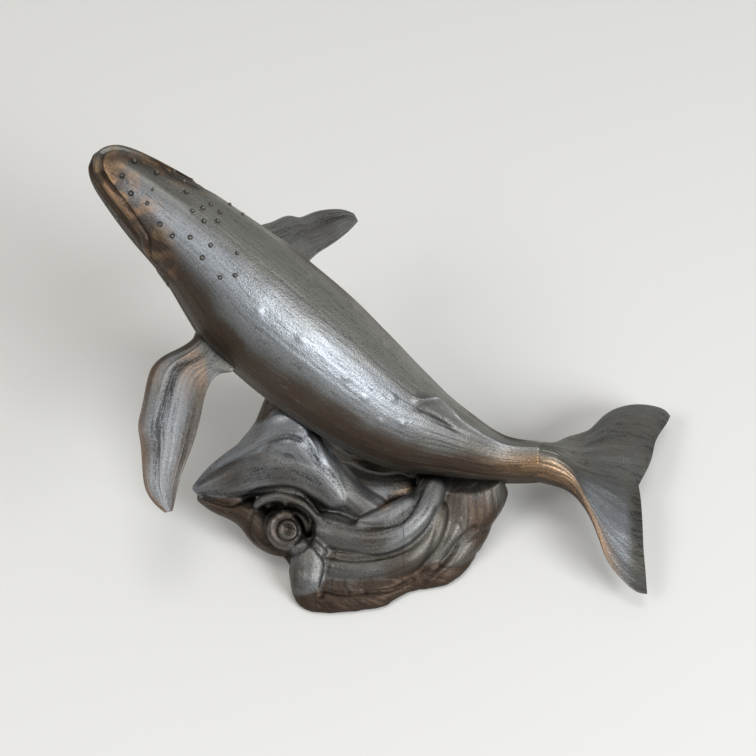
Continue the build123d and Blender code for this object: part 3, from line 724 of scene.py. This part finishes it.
# Lines of the water: length and width of a cell; each part's noise is moved on by PART_SHIFT
WATER_CELLS = [(40, 3.6), (22, 1.6), (14, 0.9), (46, 4.4)]
PART_SHIFT = np.array([31.0, 17.0, 7.0])

# Camera of the photograph: its tilt, its place in metres, its lens and the middle of its picture in pixels
CAMERA_TILT = math.radians(50)
CAMERA_FROM = (0.0023, -0.51023, 0.71384)
CAMERA_REACH, PICTURE_MIDDLE = 1872, 378
# Millimetres of the wave in one pixel
PIXEL_SIZE = 0.43

# Creases (below zero) and raised edges of the wave, as pixels of the photograph with a height and a width
CREASES = [
    (-0.7, 0.9, [(199, 481), (222, 466), (245, 453), (268, 441), (288, 436), (300, 440)]),
    (-1.0, 1.1, [(203, 497), (228, 505), (243, 500), (262, 491), (290, 489), (306, 497), (318, 512)]),
    (-0.7, 1.0, [(352, 520), (372, 526), (395, 524), (408, 515), (417, 500), (420, 490)]),
    (-0.8, 1.1, [(328, 556), (350, 560), (372, 559), (392, 555), (412, 546), (428, 529), (438, 508)]),
    (0.5, 1.0, [(330, 551), (350, 555), (372, 554), (392, 550), (410, 541)]),
    (-0.6, 1.4, [(446, 496), (440, 514), (434, 545), (420, 572)]),
    (-1.0, 1.2, [(305, 535), (316, 548), (326, 562), (324, 580), (321, 596)]),
    (-0.8, 1.1, [(326, 590), (345, 594), (368, 592), (392, 590), (412, 580)]),
    (0.7, 1.2, [(478, 533), (462, 545), (452, 560), (440, 572), (428, 583)]),
    (-0.6, 1.0, [(474, 528), (459, 541), (448, 556), (436, 569)]),
    (-0.6, 1.0, [(252, 512), (249, 526), (254, 541), (266, 551), (282, 554)]),
    (0.4, 1.0, [(283, 415), (299, 426), (312, 442), (320, 462)]),
]
GILT = [(383, 507), (398, 495), (412, 485), (424, 478)]
PALE_SPOT = (381, 495)
CURL_EYE = (288, 530)
# Height of the curl's rings, their reach from the eye in pixels and their width
CURL_RINGS = [(-1.8, 0, 5.0), (0.5, 8, 2.2), (-1.4, 13, 2.0), (0.9, 18, 3.0), (-0.8, 24, 2.6)]


def round_end(distance, radius):
    """Share of the full width at a distance from a round end."""
    return np.sqrt(np.clip(1 - (1 - np.minimum(distance / radius, 1)) ** 2, 0.0004, 1))


def strand_grid(name, spacing=0.7, size=72):
    """Closed tapering tube of water."""
    facing, brown_and_painted_shade, silver_and_painted_highlight, rows = STRANDS[name]
    rows = np.array(rows, float)
    line = smooth_path(rows[:, :3])
    length = line[2]
    count = max(int(length / spacing), 24)
    share = (1 - np.cos(np.linspace(0, math.pi, count))) / 2 * 0.35 + np.linspace(0, 1, count) * 0.65
    middle = along_path(line, share)
    ahead = unit(np.gradient(middle, axis=0))
    wide_way = unit(np.cross(ahead, facing))
    out = np.cross(wide_way, ahead)
    knots = np.stack([line[3], rows[:, 3], rows[:, 4]], -1)
    wide, thick = table(knots, share, 1), table(knots, share, 2)
    close = round_end(share * length, rows[0, 3]) * round_end((1 - share) * length, rows[-1, 3])
    turn = turns(size)
    side, front = np.cos(turn), np.sin(turn)
    rings = (middle[:, None] + wide_way[:, None] * (wide * close)[:, None, None] * side[None, :, None]
             + out[:, None] * (thick * close)[:, None, None] * front[None, :, None])
    girth = np.median(wide)
    return {"rings": rings, "flow": stacked(share[:, None] * length, girth * side, girth * front),
            "brown_and_painted_shade": brown_and_painted_shade, "silver_and_painted_highlight": silver_and_painted_highlight, "relief": np.minimum(wide / 6, 1)[:, None]}


def loft_grid(rows, size=200, count=120, level=True):
    """Plain lobe under the strands, ellipses from row to row, level or upright."""
    rows = np.array(rows, float)
    line = smooth_path(rows[:, :3])
    share = np.linspace(0, 1, count)
    middle = along_path(line, share)
    knots = np.column_stack([line[3], rows[:, 3:]])
    first, second = table(knots, share, 1), table(knots, share, 2)
    turn = turns(size)
    one, two = np.eye(3)[[0, 1]] if level else np.eye(3)[[1, 2]]
    rings = (middle[:, None] + one * (first[:, None] * np.cos(turn))[..., None]
             + two * (second[:, None] * np.sin(turn))[..., None])
    along, swirl = share[:, None] * line[2], share[:, None] * line[2] / 110
    across, depth = 24 * np.cos(turn), 24 * np.sin(turn)
    flow = stacked(along, across * np.cos(swirl) - depth * np.sin(swirl),
                   across * np.sin(swirl) + depth * np.cos(swirl))
    return {"rings": rings, "flow": flow, "brown_and_painted_shade": 0.6, "relief": 1.3}


def foot_outline(count):
    """Smooth outline of the wave's foot."""
    outline = np.array(FOOTPRINT + FOOTPRINT[:1], float)
    line = smooth_path(np.concatenate([outline[-4:-1], outline, outline[1:4]]))
    return along_path(line, np.linspace(line[3][3], line[3][-4], count, endpoint=False))


def mound_grid(size=420):
    """Foot of the wave over its outline on the table."""
    levels = np.array(FOOT_LEVELS)
    steps, at = np.linspace(0, 1, 64), np.linspace(0, 1, len(levels))
    up, shrink = (np.interp(steps, at, levels[:, k])[:, None] for k in (0, 1))
    flat = FOOT_MIDDLE + (foot_outline(size) - FOOT_MIDDLE) * shrink[..., None]
    turn = turns(size) + up / 30
    return {"rings": stacked(flat[..., 0], flat[..., 1], up),
            "flow": stacked(up * 2.5, 50 * np.cos(turn), 50 * np.sin(turn)), "brown_and_painted_shade": 0.95, "relief": 1.2}


def to_pixels(places):
    """Where places fall in the photograph's frame, in pixels."""
    away = places * MM - np.array(CAMERA_FROM)
    tilt_sin, tilt_cos = math.sin(CAMERA_TILT), math.cos(CAMERA_TILT)
    deep = away[:, 1] * tilt_cos - away[:, 2] * tilt_sin
    rise = away[:, 1] * tilt_sin + away[:, 2] * tilt_cos
    return stacked(PICTURE_MIDDLE + CAMERA_REACH * away[:, 0] / deep,
                   PICTURE_MIDDLE - CAMERA_REACH * rise / deep)


def eased(values, edges, amount, rounds):
    """Values drawn towards the mean of their neighbours, a number of times."""
    count = len(values)
    ends, others = np.concatenate([edges, edges[:, ::-1]]).T
    near = np.maximum(np.bincount(ends, minlength=count), 1)[:, None]
    flat = values.reshape(count, -1)
    for _ in range(rounds):
        sums = np.stack([np.bincount(ends, flat[others, k], count) for k in range(flat.shape[1])], -1)
        flat = flat * (1 - amount) + sums / near * amount
    return flat.reshape(values.shape)


def fused(parts, voxel=0.62):
    """One skin round closed grids: its mesh, corners and edges, smoothed a little where the grids meet."""
    block = bpy.data.objects.new("fusing", grid_mesh("fusing", parts))
    bpy.context.scene.collection.objects.link(block)
    change = block.modifiers.new("skin", "REMESH")
    change.mode, change.voxel_size, change.adaptivity = "VOXEL", voxel * MM, 0
    mesh = bpy.data.meshes.new_from_object(block.evaluated_get(bpy.context.evaluated_depsgraph_get()))
    bpy.data.objects.remove(block)
    places, edges = np.empty(len(mesh.vertices) * 3), np.empty(len(mesh.edges) * 2, np.int64)
    mesh.vertices.foreach_get("co", places)
    mesh.edges.foreach_get("vertices", edges)
    edges = edges.reshape(-1, 2)
    return mesh, eased(places.reshape(-1, 3) / MM, edges, 0.6, 5), edges


def nearest(parts, places):
    """For each place the part it is nearest to and the corner of that part."""
    owner = np.repeat(np.arange(len(parts)), [part["rings"][..., 0].size for part in parts])
    corners = corner_places(parts, "rings")
    tree = KDTree(len(corners))
    for i, corner in enumerate(corners):
        tree.insert(corner, i)
    tree.balance()
    found = np.array([tree.find(place)[1] for place in places])
    return owner[found], found


def mesh_normals(mesh, places):
    """Set a mesh's corners and give its outward normals."""
    mesh.vertices.foreach_set("co", (places * MM).ravel())
    mesh.update()
    normals = np.empty(len(places) * 3)
    mesh.vertices.foreach_get("normal", normals)
    return normals.reshape(-1, 3)


def line_distance(pixels, points):
    """Distance in millimetres to a smooth line through points of the photograph."""
    line = smooth_path(points, 80)[0]
    reach = np.full(len(pixels), FAR)
    low, high = line.min(axis=0) - 12, line.max(axis=0) + 12
    inside = np.all((pixels > low) & (pixels < high), axis=1)
    reach[inside] = np.sqrt(((pixels[inside][:, None] - line[None]) ** 2).sum(-1)).min(axis=1)
    return reach * PIXEL_SIZE


def water_lines(flow, owner):
    """Lines of the water along its flow: wide, thin and hair-thin ones, less narrow cuts."""
    wide, thin, hair, cuts = (noise(flow / (length, width, width) + owner[:, None] * PART_SHIFT, 201 + layer)
                              for layer, (length, width) in enumerate(WATER_CELLS))
    return 0.22 * wide + 0.15 * thin + 0.09 * hair - 0.13 * bell(cuts, 0.16)


def wave_pieces(parts):
    """Skin round all the water, with its lines and creases, as the two castings."""
    mesh, places, edges = fused(parts)
    owner, found = nearest(parts, places)
    flow = corner_places(parts, "flow")[found]
    brown_and_painted_shade, silver_and_painted_highlight, relief = (eased(corner_values(parts, key)[found], edges, 0.6, 6)
                             for key in ("brown_and_painted_shade", "silver_and_painted_highlight", "relief"))
    fine = water_lines(flow, owner)
    swell = noise(places / 13, 205)
    shape = eased(0.9 * fine * relief + 0.35 * swell, edges, 0.35, 2)

    # Creases and the curl's rings, on the side that the photograph shows
    normals = mesh_normals(mesh, places)
    pixels = to_pixels(places)
    facing = ramp(normals @ np.array([0, -math.cos(CAMERA_TILT), math.sin(CAMERA_TILT)]), 0.0, 0.35)
    front = facing * ramp(-places[:, 1], -16, -8)
    reach = np.linalg.norm(pixels - np.array(CURL_EYE), axis=1)
    lines = sum(height * bell(line_distance(pixels, points), width) for height, width, points in CREASES)
    lines = (lines + bells(reach, CURL_RINGS)) * front
    places = places + normals * (shape + lines)[:, None]
    places[:, 2] = np.maximum(places[:, 2], FELT_THICK)
    mesh_normals(mesh, places)

    spot = bell(np.linalg.norm(pixels - np.array(PALE_SPOT), axis=1), 12)
    paint_mesh(mesh, flow * (DRAWN_OUT, 1, 1), {
        # Painted shade in the hollow eye of the curl, besides worn ridges and dark patina in the creases
        "wear_and_painted_light": fine / 0.55 + np.clip(lines, -1.0, 0.6) * 0.35 + 0.2 * swell - 1.2 * front * bell(reach, 6),
        # Browner and darker towards the table: brown patina and painted shade
        "brown_and_painted_shade": brown_and_painted_shade + 0.35 * swell + 0.5 * (1 - ramp(places[:, 2], 3, 9)),
        "gold": 0.8 * front * bell(line_distance(pixels, GILT), 1.6),
        # Silver with painted highlight on the strands, and a pale silver spot on the front
        "silver_and_painted_highlight": silver_and_painted_highlight + 0.8 * front * spot,
        "pale": np.zeros(len(places)),
    })
    half_piece(mesh, "wave_crest_cast", "wave_crest", False)
    half_piece(mesh, "wave_swell_cast", "wave_swell", True)


def half_piece(mesh, name, casting, rear):
    """The part of the water on one side of the joint between the castings."""
    work = bmesh.new()
    work.from_mesh(mesh)
    bmesh.ops.bisect_plane(work, geom=work.verts[:] + work.edges[:] + work.faces[:], plane_no=(1, 0, 0),
                           plane_co=(SPLIT * MM, 0, 0), clear_outer=not rear, clear_inner=rear)
    bmesh.ops.holes_fill(work, edges=[edge for edge in work.edges if edge.is_boundary], sides=0)
    made = bpy.data.meshes.new(name)
    work.to_mesh(made)
    work.free()
    link_piece(name, made, bronze, casting)


# Materials


def shader(name, base, rough, metal):
    """Material, its graph of nodes and its main shader."""
    material = bpy.data.materials.new(name)
    material.use_nodes = True
    main = material.node_tree.nodes["Principled BSDF"]
    main.inputs["Base Color"].default_value = (*base, 1)
    main.inputs["Roughness"].default_value = rough
    main.inputs["Metallic"].default_value = metal
    return material, material.node_tree, main


def node(graph, kind, **values):
    """New shader node with some of its values set."""
    made = graph.nodes.new(kind)
    for key, value in values.items():
        setattr(made, key, value)
    return made


def feed(graph, socket, value):
    """Link a socket to an output, or set it to a number or a colour."""
    if hasattr(value, "is_linked"):
        graph.links.new(value, socket)
    else:
        socket.default_value = (*value, 1) if isinstance(value, tuple) else value


def math_node(graph, operation, first, second, clamp=False):
    """One sum of two values or links."""
    made = node(graph, "ShaderNodeMath", operation=operation, use_clamp=clamp)
    feed(graph, made.inputs[0], first)
    feed(graph, made.inputs[1], second)
    return made.outputs[0]


def map_value(graph, value, low, high, out_low=0.0, out_high=1.0):
    """Value carried from one range to another."""
    made = node(graph, "ShaderNodeMapRange", interpolation_type="SMOOTHSTEP")
    rows = ("Value", value), ("From Min", low), ("From Max", high), ("To Min", out_low), ("To Max", out_high)
    for key, number in rows:
        feed(graph, made.inputs[key], number)
    return made.outputs[0]


def mix_colour(graph, share, first, second):
    """Two colours mixed by a share."""
    made = node(graph, "ShaderNodeMix", data_type="RGBA")
    for place, value in ((0, share), (6, first), (7, second)):
        feed(graph, made.inputs[place], value)
    return made.outputs[2]


def painted(graph, name):
    """Value painted on the mesh."""
    return node(graph, "ShaderNodeAttribute", attribute_name=name).outputs["Fac"]


def noise_value(graph, vector, scale, detail, roughness):
    """Noise texture at a scale."""
    made = node(graph, "ShaderNodeTexNoise")
    for key, value in (("Scale", scale), ("Detail", detail), ("Roughness", roughness), ("Vector", vector)):
        feed(graph, made.inputs[key], value)
    return made.outputs["Fac"]


def bump(graph, main, height, strength, distance):
    """Fine relief of the main shader."""
    made = node(graph, "ShaderNodeBump")
    for key, value in (("Strength", strength), ("Distance", distance), ("Height", height)):
        feed(graph, made.inputs[key], value)
    graph.links.new(made.outputs[0], main.inputs["Normal"])


# Colours of the finish: the blue is a painted highlight, the pale is painted light, the brown carries painted
# shade, and the darkest one is dark patina and painted shade
PEWTER, BROWN_AND_SHADE, OLIVE = (0.125, 0.124, 0.120), (0.058, 0.040, 0.028), (0.145, 0.141, 0.122)
SILVER, GOLD, DARK_PATINA_AND_SHADE = (0.55, 0.58, 0.62), (0.46, 0.28, 0.15), (0.012, 0.010, 0.009)
PAINTED_HIGHLIGHT_BLUE, PAINTED_LIGHT_PALE = (0.26, 0.29, 0.325), (0.33, 0.328, 0.30)
# Noise of the patina: scale, detail and roughness
STREAKS, PATCHES, GRAIN, PEBBLE = (1.5, 4, 0.65), (55, 3, 0.6), (2400, 2, 0.7), (1150, 2, 0.6)


def patina(name):
    """Dark metal finish, brushed bright on its ridges and brown below, with painted light in it: painted
    highlights, pale painted light and painted shade.
    """
    material, graph, main = shader(name, PEWTER, 0.42, 0.85)
    flow = node(graph, "ShaderNodeAttribute", attribute_name="flow").outputs["Vector"]
    where = node(graph, "ShaderNodeTexCoord").outputs["Object"]
    streaks = noise_value(graph, flow, *STREAKS)
    patches, grain, pebble = (noise_value(graph, where, *kind) for kind in (PATCHES, GRAIN, PEBBLE))
    wear_and_painted_light, brown_and_painted_shade, gold, silver_and_painted_highlight, pale = (painted(graph, key) for key in PAINT)
    ridge = math_node(graph, "ADD", wear_and_painted_light, map_value(graph, streaks, 0.38, 0.66, -0.5, 0.5))
    ridge = math_node(graph, "ADD", ridge, map_value(graph, pebble, 0.4, 0.65, -0.2, 0.3))

    # Ground colours: patches, pale painted light, a blue-grey painted highlight, and brown with painted shade
    colour = mix_colour(graph, map_value(graph, patches, 0.35, 0.65), PEWTER, OLIVE)
    colour = mix_colour(graph, math_node(graph, "MULTIPLY", pale, 0.85, True), colour, PAINTED_LIGHT_PALE)
    colour = mix_colour(graph, math_node(graph, "MULTIPLY", silver_and_painted_highlight, 0.7, True), colour, PAINTED_HIGHLIGHT_BLUE)
    brown_and_shade_share = math_node(graph, "ADD", brown_and_painted_shade, map_value(graph, streaks, 0.35, 0.65, -0.2, 0.2))
    colour = mix_colour(graph, map_value(graph, brown_and_shade_share, 0.1, 0.9), colour, BROWN_AND_SHADE)

    # Bright ridges, a painted glint in the painted highlight, and gilding
    bright = math_node(graph, "MULTIPLY", map_value(graph, ridge, 0.3, 1.8, 0, 0.55),
                       map_value(graph, brown_and_painted_shade, 0.3, 1.1, 1.0, 0.35))
    painted_glint = math_node(graph, "MULTIPLY", silver_and_painted_highlight, map_value(graph, grain, 0.35, 0.6, 0.08, 0.4))
    colour = mix_colour(graph, math_node(graph, "ADD", bright, painted_glint, True), colour, SILVER)
    gold_share = math_node(graph, "MULTIPLY", gold, map_value(graph, ridge, -0.6, 0.8, 0.3, 1.0))
    colour = mix_colour(graph, math_node(graph, "MULTIPLY", gold_share, 1.0, True), colour, GOLD)

    # Dark patina and painted shade in grooves, and painted shade in corners from ambient occlusion
    colour = mix_colour(graph, map_value(graph, ridge, -1.3, -0.1, 0.8, 0.0), colour, DARK_PATINA_AND_SHADE)
    shade = node(graph, "ShaderNodeAmbientOcclusion", samples=8)
    shade.inputs["Distance"].default_value = 0.009
    colour = mix_colour(graph, map_value(graph, shade.outputs["AO"], 0.15, 0.85, 0.9, 0.0), colour, DARK_PATINA_AND_SHADE)
    graph.links.new(colour, main.inputs["Base Color"])

    # Roughness and relief
    rough = math_node(graph, "ADD", map_value(graph, grain, 0.3, 0.7, -0.05, 0.05),
                      map_value(graph, ridge, -0.8, 1.4, 0.46, 0.36))
    graph.links.new(rough, main.inputs["Roughness"])
    height = math_node(graph, "ADD",
                       math_node(graph, "MULTIPLY", streaks, map_value(graph, brown_and_painted_shade, 0, 1, 0.45, 0.8)),
                       math_node(graph, "MULTIPLY", pebble, map_value(graph, brown_and_painted_shade, 0, 1, 0.75, 0.25)))
    height = math_node(graph, "ADD", height, math_node(graph, "MULTIPLY", grain, 0.22))
    bump(graph, main, height, 0.65, 0.00035)
    return material


def plain_finish(name, base, other, rough, metal, scale, relief):
    """Finish with a slight change of colour, roughness and height."""
    material, graph, main = shader(name, base, rough, metal)
    where = node(graph, "ShaderNodeTexCoord").outputs["Object"]
    value = noise_value(graph, where, scale, 4, 0.65)
    graph.links.new(mix_colour(graph, value, base, other), main.inputs["Base Color"])
    graph.links.new(map_value(graph, value, 0.3, 0.7, rough - 0.06, rough + 0.06), main.inputs["Roughness"])
    bump(graph, main, value, 0.5, relief)
    return material


bronze = patina("bronze_patina")
steel = plain_finish("drawn_steel", (0.50, 0.51, 0.53), (0.38, 0.38, 0.40), 0.34, 1.0, 900, 0.00004)
board = plain_finish("black_plate", (0.030, 0.030, 0.031), (0.050, 0.049, 0.047), 0.62, 0.0, 1400, 0.00008)
felt = plain_finish("dark_felt", (0.022, 0.030, 0.024), (0.045, 0.055, 0.046), 0.95, 0.0, 2600, 0.00030)

# Pieces

# Rings along the body, closer together at the back fin and on the head (from, to, times)
body = body_grid(spread(0, 1, 300, [(0.20, 0.32, 1.7), (0.76, 1.0, 2.0)]), 300)
add_piece("whale_body_skin", [body] + knob_parts(), bronze, "whale_body")
for fin_name, fin in FINS.items():
    add_piece(fin_name + "_skin", [fin_grid(fin)], bronze, fin_name)
add_piece("tail_fluke_skin", [fluke_grid()], bronze, "tail_fluke")

lobes = [loft_grid(CREST_ROWS, level=False), loft_grid(BACK_ROWS, level=False), loft_grid(CREST_ROOT),
         loft_grid(SWELL_ROWS), mound_grid()]
wave_pieces(lobes + [strand_grid(name) for name in STRANDS])

# The plate and the dowels are seen as the solids that they are
DOWELS = ("chest_dowel", "tail_dowel", "left_fin_dowel", "right_fin_dowel", "fluke_dowel", "wave_dowels")
for name, material in [("base_plate", board)] + [(dowel, steel) for dowel in DOWELS]:
    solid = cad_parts[name]
    solid.data.materials.clear()
    solid.data.materials.append(material)

# Felt: its share of the foot's outline, and its levels as height and share
FELT_SHARE = 0.96
FELT_LEVELS = [(0.0, 0.002), (0.0, 0.6), (0.0, 0.96), (0.05, 0.994), (0.35, 1.0), (0.7, 0.999), (0.95, 0.993),
               (1.0, 0.96), (1.0, 0.6), (1.0, 0.002)]


def felt_piece():
    """Felt under the foot, with a slightly uneven cut edge."""
    height, shrink = np.array(FELT_LEVELS).T[..., None]
    flat = foot_outline(360) * FELT_SHARE * shrink[..., None]
    rings = stacked(flat[..., 0], flat[..., 1], height)
    rings[3:7, :, :2] *= (1 + 0.0015 * noise(rings[3:7] / 2, 401))[..., None]
    piece = add_piece("felt_pad_cloth", [{"rings": rings, "flow": rings}], felt, "felt_pad")


felt_piece()

# Stage, lights and camera

LAMP_AIM = np.array([0, 0.02, 0.06])
LENS, SENSOR = 89.14, 36


def floor():
    """Plain pale table top."""
    bpy.ops.mesh.primitive_plane_add(size=8, location=(0, 1.0, 0))
    top = bpy.context.object
    top.name = "table_top"
    material, _, main = shader("pale_table", (0.78, 0.778, 0.76), 0.9, 0.0)
    main.inputs["Specular IOR Level"].default_value = 0.1
    top.data.materials.append(material)


def lamp(name, way, reach, size, power, colour):
    """Soft square lamp that looks at the figurine."""
    data = bpy.data.lights.new(name, "AREA")
    data.shape = "SQUARE"
    data.size = size
    data.energy = power
    data.color = colour
    light = bpy.data.objects.new(name, data)
    way = unit(np.array(way))
    light.location = way * reach + LAMP_AIM
    light.rotation_euler = (math.acos(way[2]), 0, math.atan2(way[1], way[0]) + math.pi / 2)
    bpy.context.scene.collection.objects.link(light)


def sky():
    """Even pale light all round."""
    world = bpy.data.worlds.new("studio")
    bpy.context.scene.world = world
    world.use_nodes = True
    back = world.node_tree.nodes["Background"]
    back.inputs["Color"].default_value = (0.82, 0.81, 0.79, 1)
    back.inputs["Strength"].default_value = 0.36


def camera():
    """Camera at the photograph's angle."""
    data = bpy.data.cameras.new("camera")
    data.lens = LENS
    data.sensor_width = SENSOR
    data.clip_start = 0.01
    made = bpy.data.objects.new("camera", data)
    made.location = CAMERA_FROM
    made.rotation_euler = (math.pi / 2 - CAMERA_TILT, 0, 0)
    bpy.context.scene.collection.objects.link(made)
    bpy.context.scene.camera = made


floor()
sky()
lamp("soft_front_right", (0.64, -0.57, 0.51), 2.2, 1.1, 42, (0.97, 0.98, 1.0))
lamp("soft_left_high", (-0.60, -0.40, 0.75), 2.4, 0.9, 16, (1.0, 0.98, 0.95))
lamp("soft_top", (0.02, -0.10, 1.0), 2.4, 0.8, 10, (1.0, 0.99, 0.96))
camera()
bpy.context.scene.view_settings.view_transform = "Standard"
